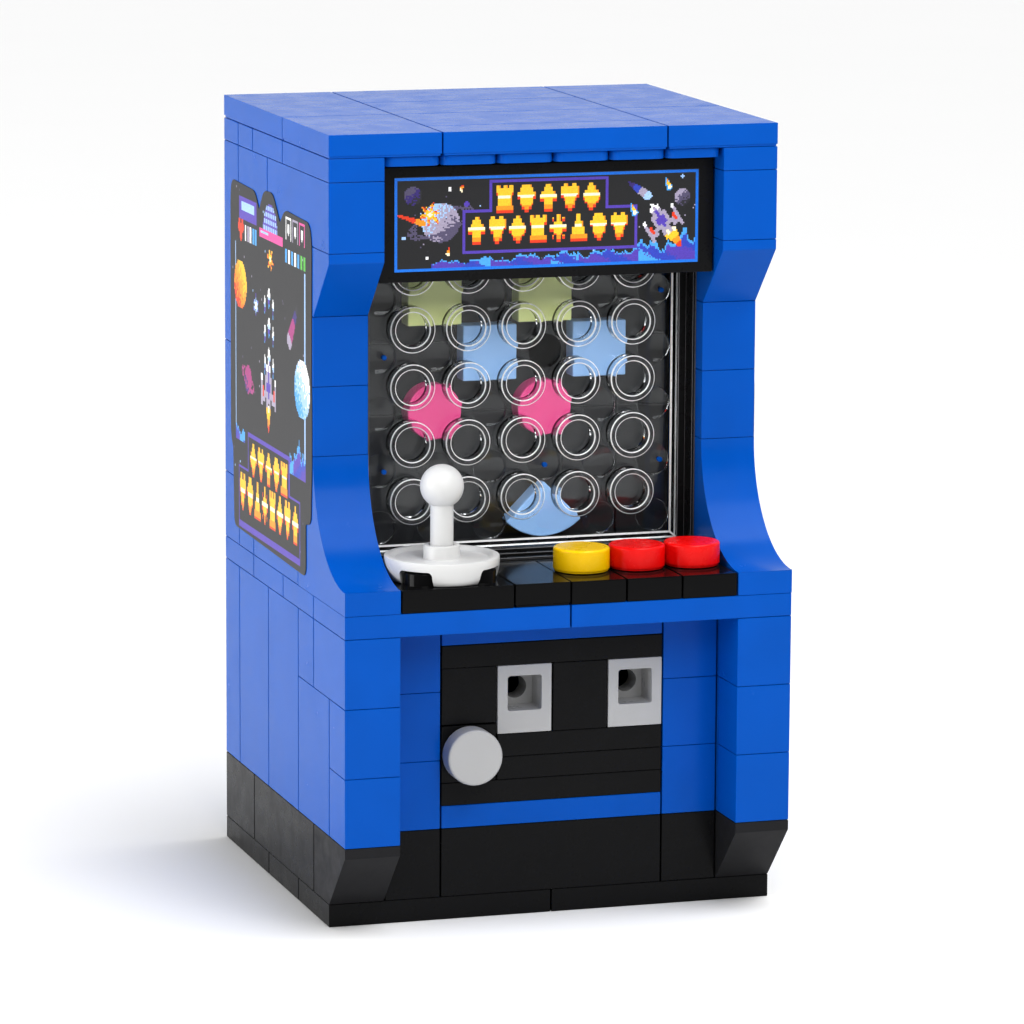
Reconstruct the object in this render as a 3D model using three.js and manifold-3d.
// A toy-brick model of an upright arcade cabinet, in millimetres, +Z up.
// The front faces -Y and the origin is the centre of the footprint, on the surface it stands on.
// Every size is counted in the two modules of the brick system: the stud pitch, in plan, and the
// plate, in height. A place written as (column, row, course) counts studs from the left side,
// studs from the front and plates from the bottom.
import * as THREE from "three";
import { mergeVertices } from "three/addons/utils/BufferGeometryUtils.js";
import Module from "manifold-3d";

const wasm = await Module();
wasm.setup();

// ---------------------------------------------------------------- brick system
const PITCH = 8; // stud to stud
const PLATE = (PITCH * 2) / 5; // a plate's height: five plates stand as high as two studs are wide
const PLAY = 0.1; // how far a brick stays inside its module on each side
const RUN = 0.1; // clearance round and under a piece that turns
const STUD_R = 2.4;
const STUD_H = 1.7;
const BAR_R = 1.59; // the bar that fits a hollow stud
const LIP = 1.4; // upright edge left at the nose of an inverted slope
const OVERCUT = 1; // how far a cutting solid runs past the face that it opens
const SIDES = 32; // facets of a large round
const STUD_SIDES = 20;
const TUBE_SIDES = 16;
const SMALL_SIDES = 12;

// ---------------------------------------------------------------- cabinet, in studs and plates
const COLUMNS = 8;
const ROWS = 8;
const WALL = 1; // side and rear walls
const TOE_TOP = 4;
const WAIST = 13; // underside of the plate that carries the deck
const DECK = WAIST + 1;
const DECK_TOP = DECK + 1;
const ARCH_TOP = DECK_TOP + 5;
const ARCH_DEPTH = 2;
const SLOPE_FOOT = ARCH_TOP + 6;
const SLOPE_TOP = SLOPE_FOOT + 3;
const HEADER_TOP = SLOPE_TOP + 3;
const ROOF = HEADER_TOP + 1;
const ROOF_TOP = ROOF + 1;
const FACE = 1; // row of the recessed lower front and of the upper front
const INNER_LEFT = WALL;
const INNER_RIGHT = COLUMNS - WALL;

// ---------------------------------------------------------------- coin door
const DOOR_LEFT = 2;
const DOOR_RIGHT = COLUMNS - DOOR_LEFT;
const DOOR_FOOT = TOE_TOP + 1;
const DOOR_TOP = WAIST - 1;
const SLOT_FOOT = DOOR_FOOT + 3;
const SLOT_TOP = SLOT_FOOT + 3;
const LEFT_SLOT = DOOR_LEFT + 1;
const RIGHT_SLOT = DOOR_RIGHT - 1;
const SLOT_SIZE = 4.9; // square mouth of a coin slot
const SLOT_DEPTH = 4.4;
const SLOT_BORE_R = 1.6; // round hole at the bottom of a coin slot
const SLOT_BELOW_TOP = PITCH / 2; // from the brick's top to the middle of the mouth

// ---------------------------------------------------------------- controls
const ROUND_H = PLATE; // thickness of the round one-stud pieces
const ROUND_EDGE = 0.3; // broken edge of a round piece
const DISH_TAPER = 0.6; // how much narrower the dish is at its foot than at its rim
const DISH_HOLLOW = 0.9;
const DISH_RIM = 0.9;
const DISH_BAND = 1.4; // upright band at the dish's rim
const COLLAR_R = 2.5;
const COLLAR_RISE = 1.4; // collar above the dish's rim
const BALL_R = 3.0;
const STICK_RISE = 9.4; // centre of the ball above the dish's rim
const STICK_COLUMN = 2;
const CONTROL_ROW = 1;
const STICK_PLATE_RIGHT = STICK_COLUMN + 1;
const FIRST_BUTTON = INNER_RIGHT - 3;

// ---------------------------------------------------------------- screen and marquee
const SCREEN_FRONT = 2.75; // row of the screen's face
const SCREEN_RIM = 1.5;
const SCREEN_SKIN = 1.0;
const TUBE_R = 3.25;
const TUBE_BORE_R = 2.4;
const CORNER_ROOM = 0.08; // least gap from a turned tile's corner to the next stud
const BOARD_FRONT = 3.7; // row of the dark wall behind the screen's tiles
const BOARD_BACK = BOARD_FRONT + 1;
const MARQUEE_FRONT = 1.45; // row of the marquee's face
const MARQUEE_HEIGHT = 2; // in studs, since the piece stands on its side
const MARQUEE_OVER_HEADER = 0.5; // in plates
const BEAM_FOOT = HEADER_TOP - 2; // underside of the beam that carries the marquee
const SCREEN_COLUMNS = INNER_RIGHT - INNER_LEFT;
const SCREEN_LEVELS = Math.floor(((BEAM_FOOT - DECK_TOP) * PLATE) / PITCH + 0.01);
const VALANCE_FRONT = 1.08;
const VALANCE_CORNER = 1.1;

const BLUE = "#0055BF";
const BLACK = "#1D1D1E";
const GREY = "#B0B0B0";
const WHITE = "#F4F4F2";
const YELLOW = "#F2C10A";
const RED = "#D81F26";
const GREEN = "#BECD82";
const PALE_BLUE = "#87AAE1";
const PINK = "#E65596";
const CLEAR = "#E8EEF2";

function plastic(color) {
  return new THREE.MeshStandardMaterial({ color, roughness: 0.2, metalness: 0 });
}

function clearPlastic() {
  return new THREE.MeshStandardMaterial({ color: CLEAR, roughness: 0.05, transparent: true, opacity: 0.3 });
}

// Places in millimetres from places counted in studs and plates.
const atX = (column) => (column - COLUMNS / 2) * PITCH;
const atY = (row) => (row - ROWS / 2) * PITCH;
const atZ = (course) => course * PLATE;

// ---------------------------------------------------------------- solids
function solid(geometry) {
  const bare = geometry.clone();
  bare.deleteAttribute("normal");
  bare.deleteAttribute("uv");
  const merged = mergeVertices(bare, 1e-4);
  const mesh = new wasm.Mesh({
    numProp: 3,
    vertProperties: merged.attributes.position.array,
    triVerts: new Uint32Array(merged.index.array),
  });
  return new wasm.Manifold(mesh);
}

function geometryOf(manifold) {
  const { vertProperties, triVerts } = manifold.getMesh();
  const geometry = new THREE.BufferGeometry();
  geometry.setAttribute("position", new THREE.BufferAttribute(vertProperties, 3));
  geometry.setIndex(new THREE.BufferAttribute(triVerts, 1));
  geometry.computeVertexNormals();
  return geometry;
}

const sum = (first, ...rest) => rest.reduce((made, next) => made.add(next), first);
const cut = (first, ...rest) => rest.reduce((made, next) => made.subtract(next), first);

// A box between two corners in millimetres.
function box(x0, x1, y0, y1, z0, z1) {
  const made = new THREE.BoxGeometry(x1 - x0, y1 - y0, z1 - z0);
  return made.translate((x0 + x1) / 2, (y0 + y1) / 2, (z0 + z1) / 2);
}

// A brick, plate or tile that fills its module, less the play on its four sides.
function brick(column0, column1, row0, row1, course0, course1) {
  return box(
    atX(column0) + PLAY, atX(column1) - PLAY,
    atY(row0) + PLAY, atY(row1) - PLAY,
    atZ(course0), atZ(course1),
  );
}

// A piece standing on its side: the play lies all round its face, and it fills its thickness.
function sideways(column0, column1, y0, y1, course0, course1) {
  return box(
    atX(column0) + PLAY, atX(column1) - PLAY, y0, y1, atZ(course0) + PLAY, atZ(course1) - PLAY,
  );
}

// A wall piece one stud thick whose outline, in millimetres along Y and Z, is the same all the way
// through. The outline runs round with its inside on the left.
function wallPiece(column, outline) {
  const shape = outline instanceof THREE.Shape ? outline : outlineShape(outline);
  const thick = WALL * PITCH - 2 * PLAY;
  const made = new THREE.ExtrudeGeometry(shape, { depth: thick, bevelEnabled: false, curveSegments: 12 });
  made.rotateY(Math.PI / 2).rotateX(Math.PI / 2); // outline X to Y, outline Y to Z, depth to X
  return made.translate(atX(column) + PLAY, 0, 0);
}

function outlineShape(points) {
  return new THREE.Shape(points.map(([y, z]) => new THREE.Vector2(y, z)));
}

// A round solid about +Z from [radius, height] pairs. Its corners lie on the radius.
function turned(profile, sides = SIDES) {
  const points = profile.map(([r, z]) => new THREE.Vector2(r, z));
  return new THREE.LatheGeometry(points, sides).rotateX(Math.PI / 2);
}

function pin(radius, z0, z1, sides = STUD_SIDES) {
  return turned([[0, z0], [radius, z0], [radius, z1], [0, z1]], sides);
}

// A bore's facets lie outside its radius, so that a round of that radius turns inside it.
function bore(radius, z0, z1, sides = STUD_SIDES) {
  return pin(radius / Math.cos(Math.PI / sides), z0, z1, sides);
}

// Turns a solid made about +Z so that its top faces the front (-Y), at a place in millimetres.
const facingFront = (geometry, x, y, z) => geometry.rotateX(Math.PI / 2).translate(x, y, z);
const facingBack = (geometry, x, y, z) => geometry.rotateX(-Math.PI / 2).translate(x, y, z);

// An upright stud, with its root a little way into the plate that it stands on.
function stud(column, row, course) {
  return pin(STUD_R, -STUD_H / 4, STUD_H).translate(atX(column), atY(row), atZ(course));
}

// ---------------------------------------------------------------- assembly
const group = new THREE.Group();

function put(name, shape, material) {
  const mesh = new THREE.Mesh(shape.isBufferGeometry ? shape : geometryOf(shape), material);
  mesh.name = name;
  group.add(mesh);
  return mesh;
}

const bothSides = [
  ["left", 0],
  ["right", COLUMNS - WALL],
];

// ---------------------------------------------------------------- plinth
function addPlinth() {
  put("base_plate", brick(0, COLUMNS, FACE, ROWS, 0, 1), plastic(BLACK));
  put("kick_front", brick(INNER_LEFT, INNER_RIGHT, FACE, FACE + 1, 1, TOE_TOP), plastic(BLACK));
  put("plinth_rear", brick(INNER_LEFT, INNER_RIGHT, ROWS - WALL, ROWS, 1, TOE_TOP), plastic(BLACK));
  for (const [side, column] of bothSides) {
    put(`toe_${side}`, wallPiece(column, invertedSlope(0, FACE, FACE + 1, 1, TOE_TOP)), plastic(BLACK));
    put(`plinth_${side}`, brick(column, column + WALL, FACE + 1, ROWS, 1, TOE_TOP), plastic(BLACK));
  }
}

// The outline of a slope that leans out over its foot: an upright lip, then down and back.
function invertedSlope(noseRow, footRow, backRow, course0, course1) {
  return [
    [atY(footRow) + PLAY, atZ(course0)],
    [atY(backRow) - PLAY, atZ(course0)],
    [atY(backRow) - PLAY, atZ(course1)],
    [atY(noseRow) + PLAY, atZ(course1)],
    [atY(noseRow) + PLAY, atZ(course1) - LIP],
  ];
}

// ---------------------------------------------------------------- lower body
function addLowerBody() {
  const splice = WAIST - 3; // the top brick of the pillar is two studs deep and ties it to the side
  const front = atY(0) + PLAY;
  const back = atY(ROWS) - PLAY;
  for (const [side, column] of bothSides) {
    put(`pillar_${side}`, wallPiece(column, [
      [front, atZ(TOE_TOP)],
      [atY(FACE) - PLAY, atZ(TOE_TOP)],
      [atY(FACE) - PLAY, atZ(splice)],
      [atY(FACE + 1) - PLAY, atZ(splice)],
      [atY(FACE + 1) - PLAY, atZ(WAIST)],
      [front, atZ(WAIST)],
    ]), plastic(BLUE));
    put(`side_lower_${side}`, wallPiece(column, [
      [atY(FACE) + PLAY, atZ(TOE_TOP)],
      [back, atZ(TOE_TOP)],
      [back, atZ(WAIST)],
      [atY(FACE + 1) + PLAY, atZ(WAIST)],
      [atY(FACE + 1) + PLAY, atZ(splice)],
      [atY(FACE) + PLAY, atZ(splice)],
    ]), plastic(BLUE));
  }
  put("column_left", brick(INNER_LEFT, DOOR_LEFT, FACE, FACE + 1, TOE_TOP, WAIST), plastic(BLUE));
  put("column_right", brick(DOOR_RIGHT, INNER_RIGHT, FACE, FACE + 1, TOE_TOP, WAIST), plastic(BLUE));
  put("back_wall_lower", brick(INNER_LEFT, INNER_RIGHT, ROWS - WALL, ROWS, TOE_TOP, WAIST), plastic(BLUE));
}

// ---------------------------------------------------------------- coin door
function coinSlot(column) {
  const x = atX(column + 0.5);
  const front = atY(FACE) + PLAY;
  const z = atZ(SLOT_TOP) - SLOT_BELOW_TOP;
  const half = SLOT_SIZE / 2;
  const body = solid(brick(column, column + 1, FACE, FACE + 1, SLOT_FOOT, SLOT_TOP));
  const mouth = solid(box(x - half, x + half, front - OVERCUT, front + SLOT_DEPTH, z - half, z + half));
  const hole = solid(facingFront(pin(SLOT_BORE_R, -PITCH, OVERCUT), x, front + SLOT_DEPTH, z));
  return cut(body, mouth, hole);
}

function addCoinDoor() {
  put("door_sill", brick(DOOR_LEFT, DOOR_RIGHT, FACE, FACE + 1, TOE_TOP, DOOR_FOOT), plastic(BLUE));
  put("door_header", brick(DOOR_LEFT, DOOR_RIGHT, FACE, FACE + 1, SLOT_TOP, DOOR_TOP), plastic(BLACK));
  put("door_lintel", brick(DOOR_LEFT, DOOR_RIGHT, FACE, FACE + 1, DOOR_TOP, WAIST), plastic(BLUE));
  put("door_brick", brick(LEFT_SLOT + 1, RIGHT_SLOT, FACE, FACE + 1, SLOT_FOOT, SLOT_TOP), plastic(BLACK));
  put("coin_slot_left", coinSlot(LEFT_SLOT), plastic(GREY));
  put("coin_slot_right", coinSlot(RIGHT_SLOT), plastic(GREY));
  put("door_panel", sum(
    solid(brick(DOOR_LEFT, DOOR_RIGHT, FACE, FACE + 1, DOOR_FOOT, DOOR_FOOT + 1)),
    solid(brick(LEFT_SLOT, DOOR_RIGHT, FACE, FACE + 1, DOOR_FOOT + 0.5, SLOT_FOOT)),
  ), plastic(BLACK));
  addKnob();
}

// Beside the slots two one-stud pieces stand on their sides, the lower with the knob's stud.
function addKnob() {
  const foot = atZ(DOOR_FOOT + 1);
  const middle = (foot + atZ(SLOT_TOP)) / 2;
  const left = atX(DOOR_LEFT) + PLAY;
  const right = atX(LEFT_SLOT) - PLAY;
  const front = atY(FACE) + PLAY;
  const back = atY(FACE + 1) - PLAY;
  const x = (left + right) / 2;
  const z = (foot + middle) / 2;
  const holder = solid(box(left, right, front, back, foot, middle - PLAY));
  const knobStud = solid(facingFront(pin(STUD_R, -STUD_H, STUD_H), x, front, z));
  put("knob_plate", sum(holder, knobStud), plastic(BLACK));
  put("door_tile", box(left, right, front, back, middle + PLAY, atZ(SLOT_TOP)), plastic(BLACK));
  put("knob", facingFront(roundTile(), x, front - RUN, z), plastic(GREY));
}

// A round one-stud piece with its foot at z = 0: a disc with a broken edge, hollow below for a stud.
function roundTile() {
  const radius = PITCH / 2 - PLAY;
  const hollowR = (STUD_R + RUN) / Math.cos(Math.PI / SIDES);
  const hollowTop = STUD_H + RUN;
  return turned([
    [0, hollowTop],
    [hollowR, hollowTop],
    [hollowR, 0],
    [radius - ROUND_EDGE, 0],
    [radius, ROUND_EDGE],
    [radius, ROUND_H - ROUND_EDGE],
    [radius - ROUND_EDGE, ROUND_H],
    [0, ROUND_H],
  ]);
}

// ---------------------------------------------------------------- control deck
function addDeck() {
  put("waist_front", brick(0, COLUMNS, 0, CONTROL_ROW + 1, WAIST, DECK), plastic(BLUE));
  put("waist_rear", brick(0, COLUMNS, CONTROL_ROW + 1, ROWS, WAIST, DECK), plastic(BLUE));
  const back = CONTROL_ROW + 1;
  const holder = solid(brick(INNER_LEFT, STICK_PLATE_RIGHT, 0, back, DECK, DECK_TOP));
  const studs = [];
  for (const column of [-0.5, 0.5])
    for (const row of [-0.5, 0.5])
      studs.push(solid(stud(STICK_COLUMN + column, CONTROL_ROW + row, DECK_TOP)));
  put("stick_plate", sum(holder, ...studs), plastic(BLACK));
  put("deck_tile", brick(STICK_PLATE_RIGHT, FIRST_BUTTON, 0, back, DECK, DECK_TOP), plastic(BLACK));
  put("screen_sill", brick(INNER_LEFT, INNER_RIGHT, back, BOARD_BACK, DECK, DECK_TOP), plastic(BLACK));

  const buttons = [
    ["yellow", FIRST_BUTTON, YELLOW],
    ["red_inner", FIRST_BUTTON + 1, RED],
    ["red_outer", FIRST_BUTTON + 2, RED],
  ];
  for (const [name, column, color] of buttons) {
    const middle = column + 0.5;
    const plate = solid(brick(column, column + 1, 0, back, DECK, DECK_TOP));
    put(`jumper_${name}`, plate.add(solid(stud(middle, CONTROL_ROW, DECK_TOP))), plastic(BLACK));
    const button = roundTile().translate(atX(middle), atY(CONTROL_ROW), atZ(DECK_TOP) + RUN);
    put(`button_${name}`, button, plastic(color));
  }
}

// ---------------------------------------------------------------- joystick
// The dish sits between the four studs of its plate, with a slot over each of them, and the stick
// turns in its hollow collar.
function addJoystick() {
  const foot = atZ(DECK_TOP);
  const rim = PLATE;
  const rimR = PITCH - PLAY;
  const floor = rim - DISH_HOLLOW;
  const boreR = (BAR_R + RUN) / Math.cos(Math.PI / SIDES);
  const bowl = solid(turned([
    [boreR, 0],
    [rimR - DISH_TAPER, 0],
    [rimR, rim - DISH_BAND],
    [rimR, rim],
    [rimR - DISH_RIM, rim],
    [rimR - DISH_RIM - DISH_HOLLOW, floor],
    [COLLAR_R, floor],
    [COLLAR_R, rim + COLLAR_RISE],
    [boreR, rim + COLLAR_RISE],
    [boreR, 0],
  ]));
  const slotFrom = PITCH * Math.SQRT1_2 - STUD_R - RUN;
  const half = STUD_R + RUN;
  const slots = [45, 135, 225, 315].map((degrees) => {
    const slot = box(slotFrom, PITCH + OVERCUT, -half, half, -OVERCUT, STUD_H + RUN);
    return solid(slot.rotateZ(THREE.MathUtils.degToRad(degrees)));
  });
  const x = atX(STICK_COLUMN);
  const y = atY(CONTROL_ROW);
  put("stick_dish", geometryOf(cut(bowl, ...slots)).translate(x, y, foot), plastic(WHITE));

  const ballZ = rim + STICK_RISE;
  const neck = Math.asin(BAR_R / BALL_R);
  const profile = [[0, RUN], [BAR_R, RUN]];
  const steps = 12;
  for (let i = 0; i <= steps; i += 1) {
    const angle = neck + ((Math.PI - neck) * i) / steps;
    const radius = i === steps ? 0 : BALL_R * Math.sin(angle);
    profile.push([radius, ballZ - BALL_R * Math.cos(angle)]);
  }
  put("joystick", turned(profile, 24).translate(x, y, foot), plastic(WHITE));
}

// ---------------------------------------------------------------- upper body
// The inverted arch: an upright nose one plate high, then a quarter round that sweeps up and back.
function archShape() {
  const nose = atY(0) + PLAY;
  const top = atZ(ARCH_TOP);
  const back = atY(ARCH_DEPTH + 1) - PLAY;
  const shape = new THREE.Shape();
  shape.moveTo(nose, atZ(DECK));
  shape.lineTo(back, atZ(DECK));
  shape.lineTo(back, top);
  shape.lineTo(atY(ARCH_DEPTH) + PLAY, top);
  shape.absellipse(nose, top, ARCH_DEPTH * PITCH, top - atZ(DECK_TOP), 0, -Math.PI / 2, true);
  shape.closePath();
  return shape;
}

function addUpperBody() {
  const back = atY(ROWS) - PLAY;
  const throat = atY(ARCH_DEPTH) + PLAY;
  const inner = atY(ARCH_DEPTH + 1) + PLAY;
  for (const [side, column] of bothSides) {
    put(`arch_${side}`, wallPiece(column, archShape()), plastic(BLUE));
    put(`slope_${side}`, wallPiece(
      column, invertedSlope(FACE, ARCH_DEPTH, ARCH_DEPTH + 1, SLOPE_FOOT, SLOPE_TOP),
    ), plastic(BLUE));
    put(`cheek_${side}`, wallPiece(column, [
      [inner, atZ(DECK)],
      [back, atZ(DECK)],
      [back, atZ(HEADER_TOP)],
      [atY(FACE) + PLAY, atZ(HEADER_TOP)],
      [atY(FACE) + PLAY, atZ(SLOPE_TOP)],
      [inner, atZ(SLOPE_TOP)],
      [inner, atZ(SLOPE_FOOT)],
      [throat, atZ(SLOPE_FOOT)],
      [throat, atZ(ARCH_TOP)],
      [inner, atZ(ARCH_TOP)],
    ]), plastic(BLUE));
  }
  put("back_wall_upper", brick(INNER_LEFT, INNER_RIGHT, ROWS - WALL, ROWS, DECK, HEADER_TOP), plastic(BLUE));
  const bay = box(atX(INNER_LEFT) - PLAY, atX(INNER_RIGHT) + PLAY, atY(0), atY(FACE + 1), 0, atZ(ROOF_TOP));
  put("roof_plate", cut(solid(brick(0, COLUMNS, FACE, ROWS, HEADER_TOP, ROOF)), solid(bay)), plastic(BLUE));
  const edge = 2; // the outer roof tiles are two studs wide
  put("roof_left", brick(0, edge, FACE, ROWS, ROOF, ROOF_TOP), plastic(BLUE));
  put("roof_centre", brick(edge, COLUMNS - edge, FACE, ROWS, ROOF, ROOF_TOP), plastic(BLUE));
  put("roof_right", brick(COLUMNS - edge, COLUMNS, FACE, ROWS, ROOF, ROOF_TOP), plastic(BLUE));
}

// ---------------------------------------------------------------- marquee
// A row of six small pieces with rounded lower corners hangs under the roof's front edge.
function valance() {
  const height = PLATE;
  const front = atY(VALANCE_FRONT);
  const back = atY(MARQUEE_FRONT) - PLAY;
  const spine = solid(box(
    atX(INNER_LEFT) + PLAY, atX(INNER_RIGHT) - PLAY, (front + back) / 2, back, atZ(HEADER_TOP), atZ(ROOF),
  ));
  const pieces = [];
  for (let column = INNER_LEFT; column < INNER_RIGHT; column += 1) {
    const width = PITCH - 2 * PLAY;
    const shape = new THREE.Shape();
    shape.moveTo(0, height);
    shape.lineTo(0, VALANCE_CORNER);
    shape.absarc(VALANCE_CORNER, VALANCE_CORNER, VALANCE_CORNER, Math.PI, Math.PI * 1.5, false);
    shape.absarc(width - VALANCE_CORNER, VALANCE_CORNER, VALANCE_CORNER, -Math.PI / 2, 0, false);
    shape.lineTo(width, height);
    const depth = back - front;
    const piece = new THREE.ExtrudeGeometry(shape, { depth, bevelEnabled: false, curveSegments: 5 });
    piece.rotateX(Math.PI / 2); // outline Y to Z, and depth to -Y
    pieces.push(solid(piece.translate(atX(column) + PLAY, back, atZ(HEADER_TOP))));
  }
  return sum(spine, ...pieces);
}

function addMarquee() {
  const top = HEADER_TOP + MARQUEE_OVER_HEADER;
  const bottom = top - (MARQUEE_HEIGHT * PITCH) / PLATE;
  const front = atY(MARQUEE_FRONT);
  const back = front + PLATE;
  put("marquee_panel", sideways(INNER_LEFT, INNER_RIGHT, front, back, bottom, top), plastic(BLACK));
  put("marquee_beam", box(
    atX(INNER_LEFT) + PLAY, atX(INNER_RIGHT) - PLAY, back, atY(ROWS - WALL) - PLAY,
    atZ(BEAM_FOOT), atZ(HEADER_TOP),
  ), plastic(BLACK));
  put("valance", valance(), plastic(BLUE));
}

// ---------------------------------------------------------------- screen
// The screen is a clear plate on its side with its hollow face to the front, so its rim and its
// tubes show, and its studs point back and carry the coloured tiles.
const screenTop = DECK_TOP + (SCREEN_LEVELS * PITCH) / PLATE;
const screenZ = (level) => atZ(DECK_TOP) + level * PITCH;

function screenPanel() {
  const front = atY(SCREEN_FRONT);
  const back = front + PLATE;
  const blank = solid(sideways(INNER_LEFT, INNER_RIGHT, front, back, DECK_TOP, screenTop));
  const hollow = solid(box(
    atX(INNER_LEFT) + SCREEN_RIM, atX(INNER_RIGHT) - SCREEN_RIM,
    front - OVERCUT, back - SCREEN_SKIN,
    screenZ(0) + SCREEN_RIM, screenZ(SCREEN_LEVELS) - SCREEN_RIM,
  ));
  const depth = PLATE - SCREEN_SKIN;
  const tubes = [];
  const bores = [];
  const studs = [];
  for (let i = 0; i < SCREEN_COLUMNS; i += 1) {
    for (let j = 0; j < SCREEN_LEVELS; j += 1) {
      const x = atX(INNER_LEFT + i + 0.5);
      const z = screenZ(j + 0.5);
      studs.push(solid(facingBack(pin(STUD_R, -SCREEN_SKIN / 4, STUD_H, SMALL_SIDES), x, back, z)));
      if (i === 0 || j === 0) continue;
      const tube = pin(TUBE_R, -depth - SCREEN_SKIN / 4, 0, TUBE_SIDES);
      tubes.push(solid(facingFront(tube, atX(INNER_LEFT + i), front, screenZ(j))));
      const inside = pin(TUBE_BORE_R, -depth, OVERCUT, TUBE_SIDES);
      bores.push(solid(facingFront(inside, atX(INNER_LEFT + i), front, screenZ(j))));
    }
  }
  return cut(sum(cut(blank, hollow), ...tubes, ...studs), ...bores);
}

// A one-stud tile on a stud of the screen's back, its face against the panel.
function screenTile(outline, column, level) {
  const pocket = solid(bore(STUD_R + RUN, -OVERCUT, STUD_H + RUN, SMALL_SIDES));
  const made = geometryOf(cut(solid(outline), pocket));
  return facingBack(made, atX(column), atY(SCREEN_FRONT) + PLATE, screenZ(level));
}

function squareTile() {
  const half = PITCH / 2 - PLAY;
  return box(-half, half, -half, half, 0, PLATE);
}

// Its corners, once it is turned, point at the next studs and stay clear of them.
function quarterTile() {
  const half = Math.min(PITCH / 2 - PLAY, (PITCH - STUD_R - CORNER_ROOM) * Math.SQRT1_2);
  const shape = new THREE.Shape();
  shape.moveTo(-half, -half);
  shape.lineTo(half, -half);
  shape.absarc(-half, -half, 2 * half, 0, Math.PI / 2, false);
  shape.closePath();
  return new THREE.ExtrudeGeometry(shape, { depth: PLATE, bevelEnabled: false, curveSegments: 12 });
}

function addScreen() {
  put("screen", screenPanel(), clearPlastic());
  const board = brick(INNER_LEFT, INNER_RIGHT, BOARD_FRONT, BOARD_BACK, DECK_TOP, BEAM_FOOT);
  put("backboard", board, plastic(BLACK));
  const left = INNER_LEFT + 1.5;
  const disc = () => pin(PITCH / 2 - PLAY, 0, PLATE, SIDES);
  const tiles = [
    ["tile_green_left", squareTile(), left, 4.5, GREEN],
    ["tile_green_right", squareTile(), left + 2, 4.5, GREEN],
    ["tile_blue_left", squareTile(), left + 1, 3.5, PALE_BLUE],
    ["tile_blue_right", squareTile(), left + 3, 3.5, PALE_BLUE],
    ["tile_pink_left", disc(), left, 2.5, PINK],
    ["tile_pink_right", disc(), left + 2, 2.5, PINK],
  ];
  for (const [name, outline, column, level, color] of tiles)
    put(name, screenTile(outline, column, level), plastic(color));
  // The quarter-round tile is turned on its stud, so that its point is at the top.
  const turn = THREE.MathUtils.degToRad(45);
  put("tile_quarter", screenTile(quarterTile().rotateZ(turn), left + 2, 0.5), plastic(PALE_BLUE));
}

addPlinth();
addLowerBody();
addCoinDoor();
addDeck();
addJoystick();
addUpperBody();
addMarquee();
addScreen();

export default group;
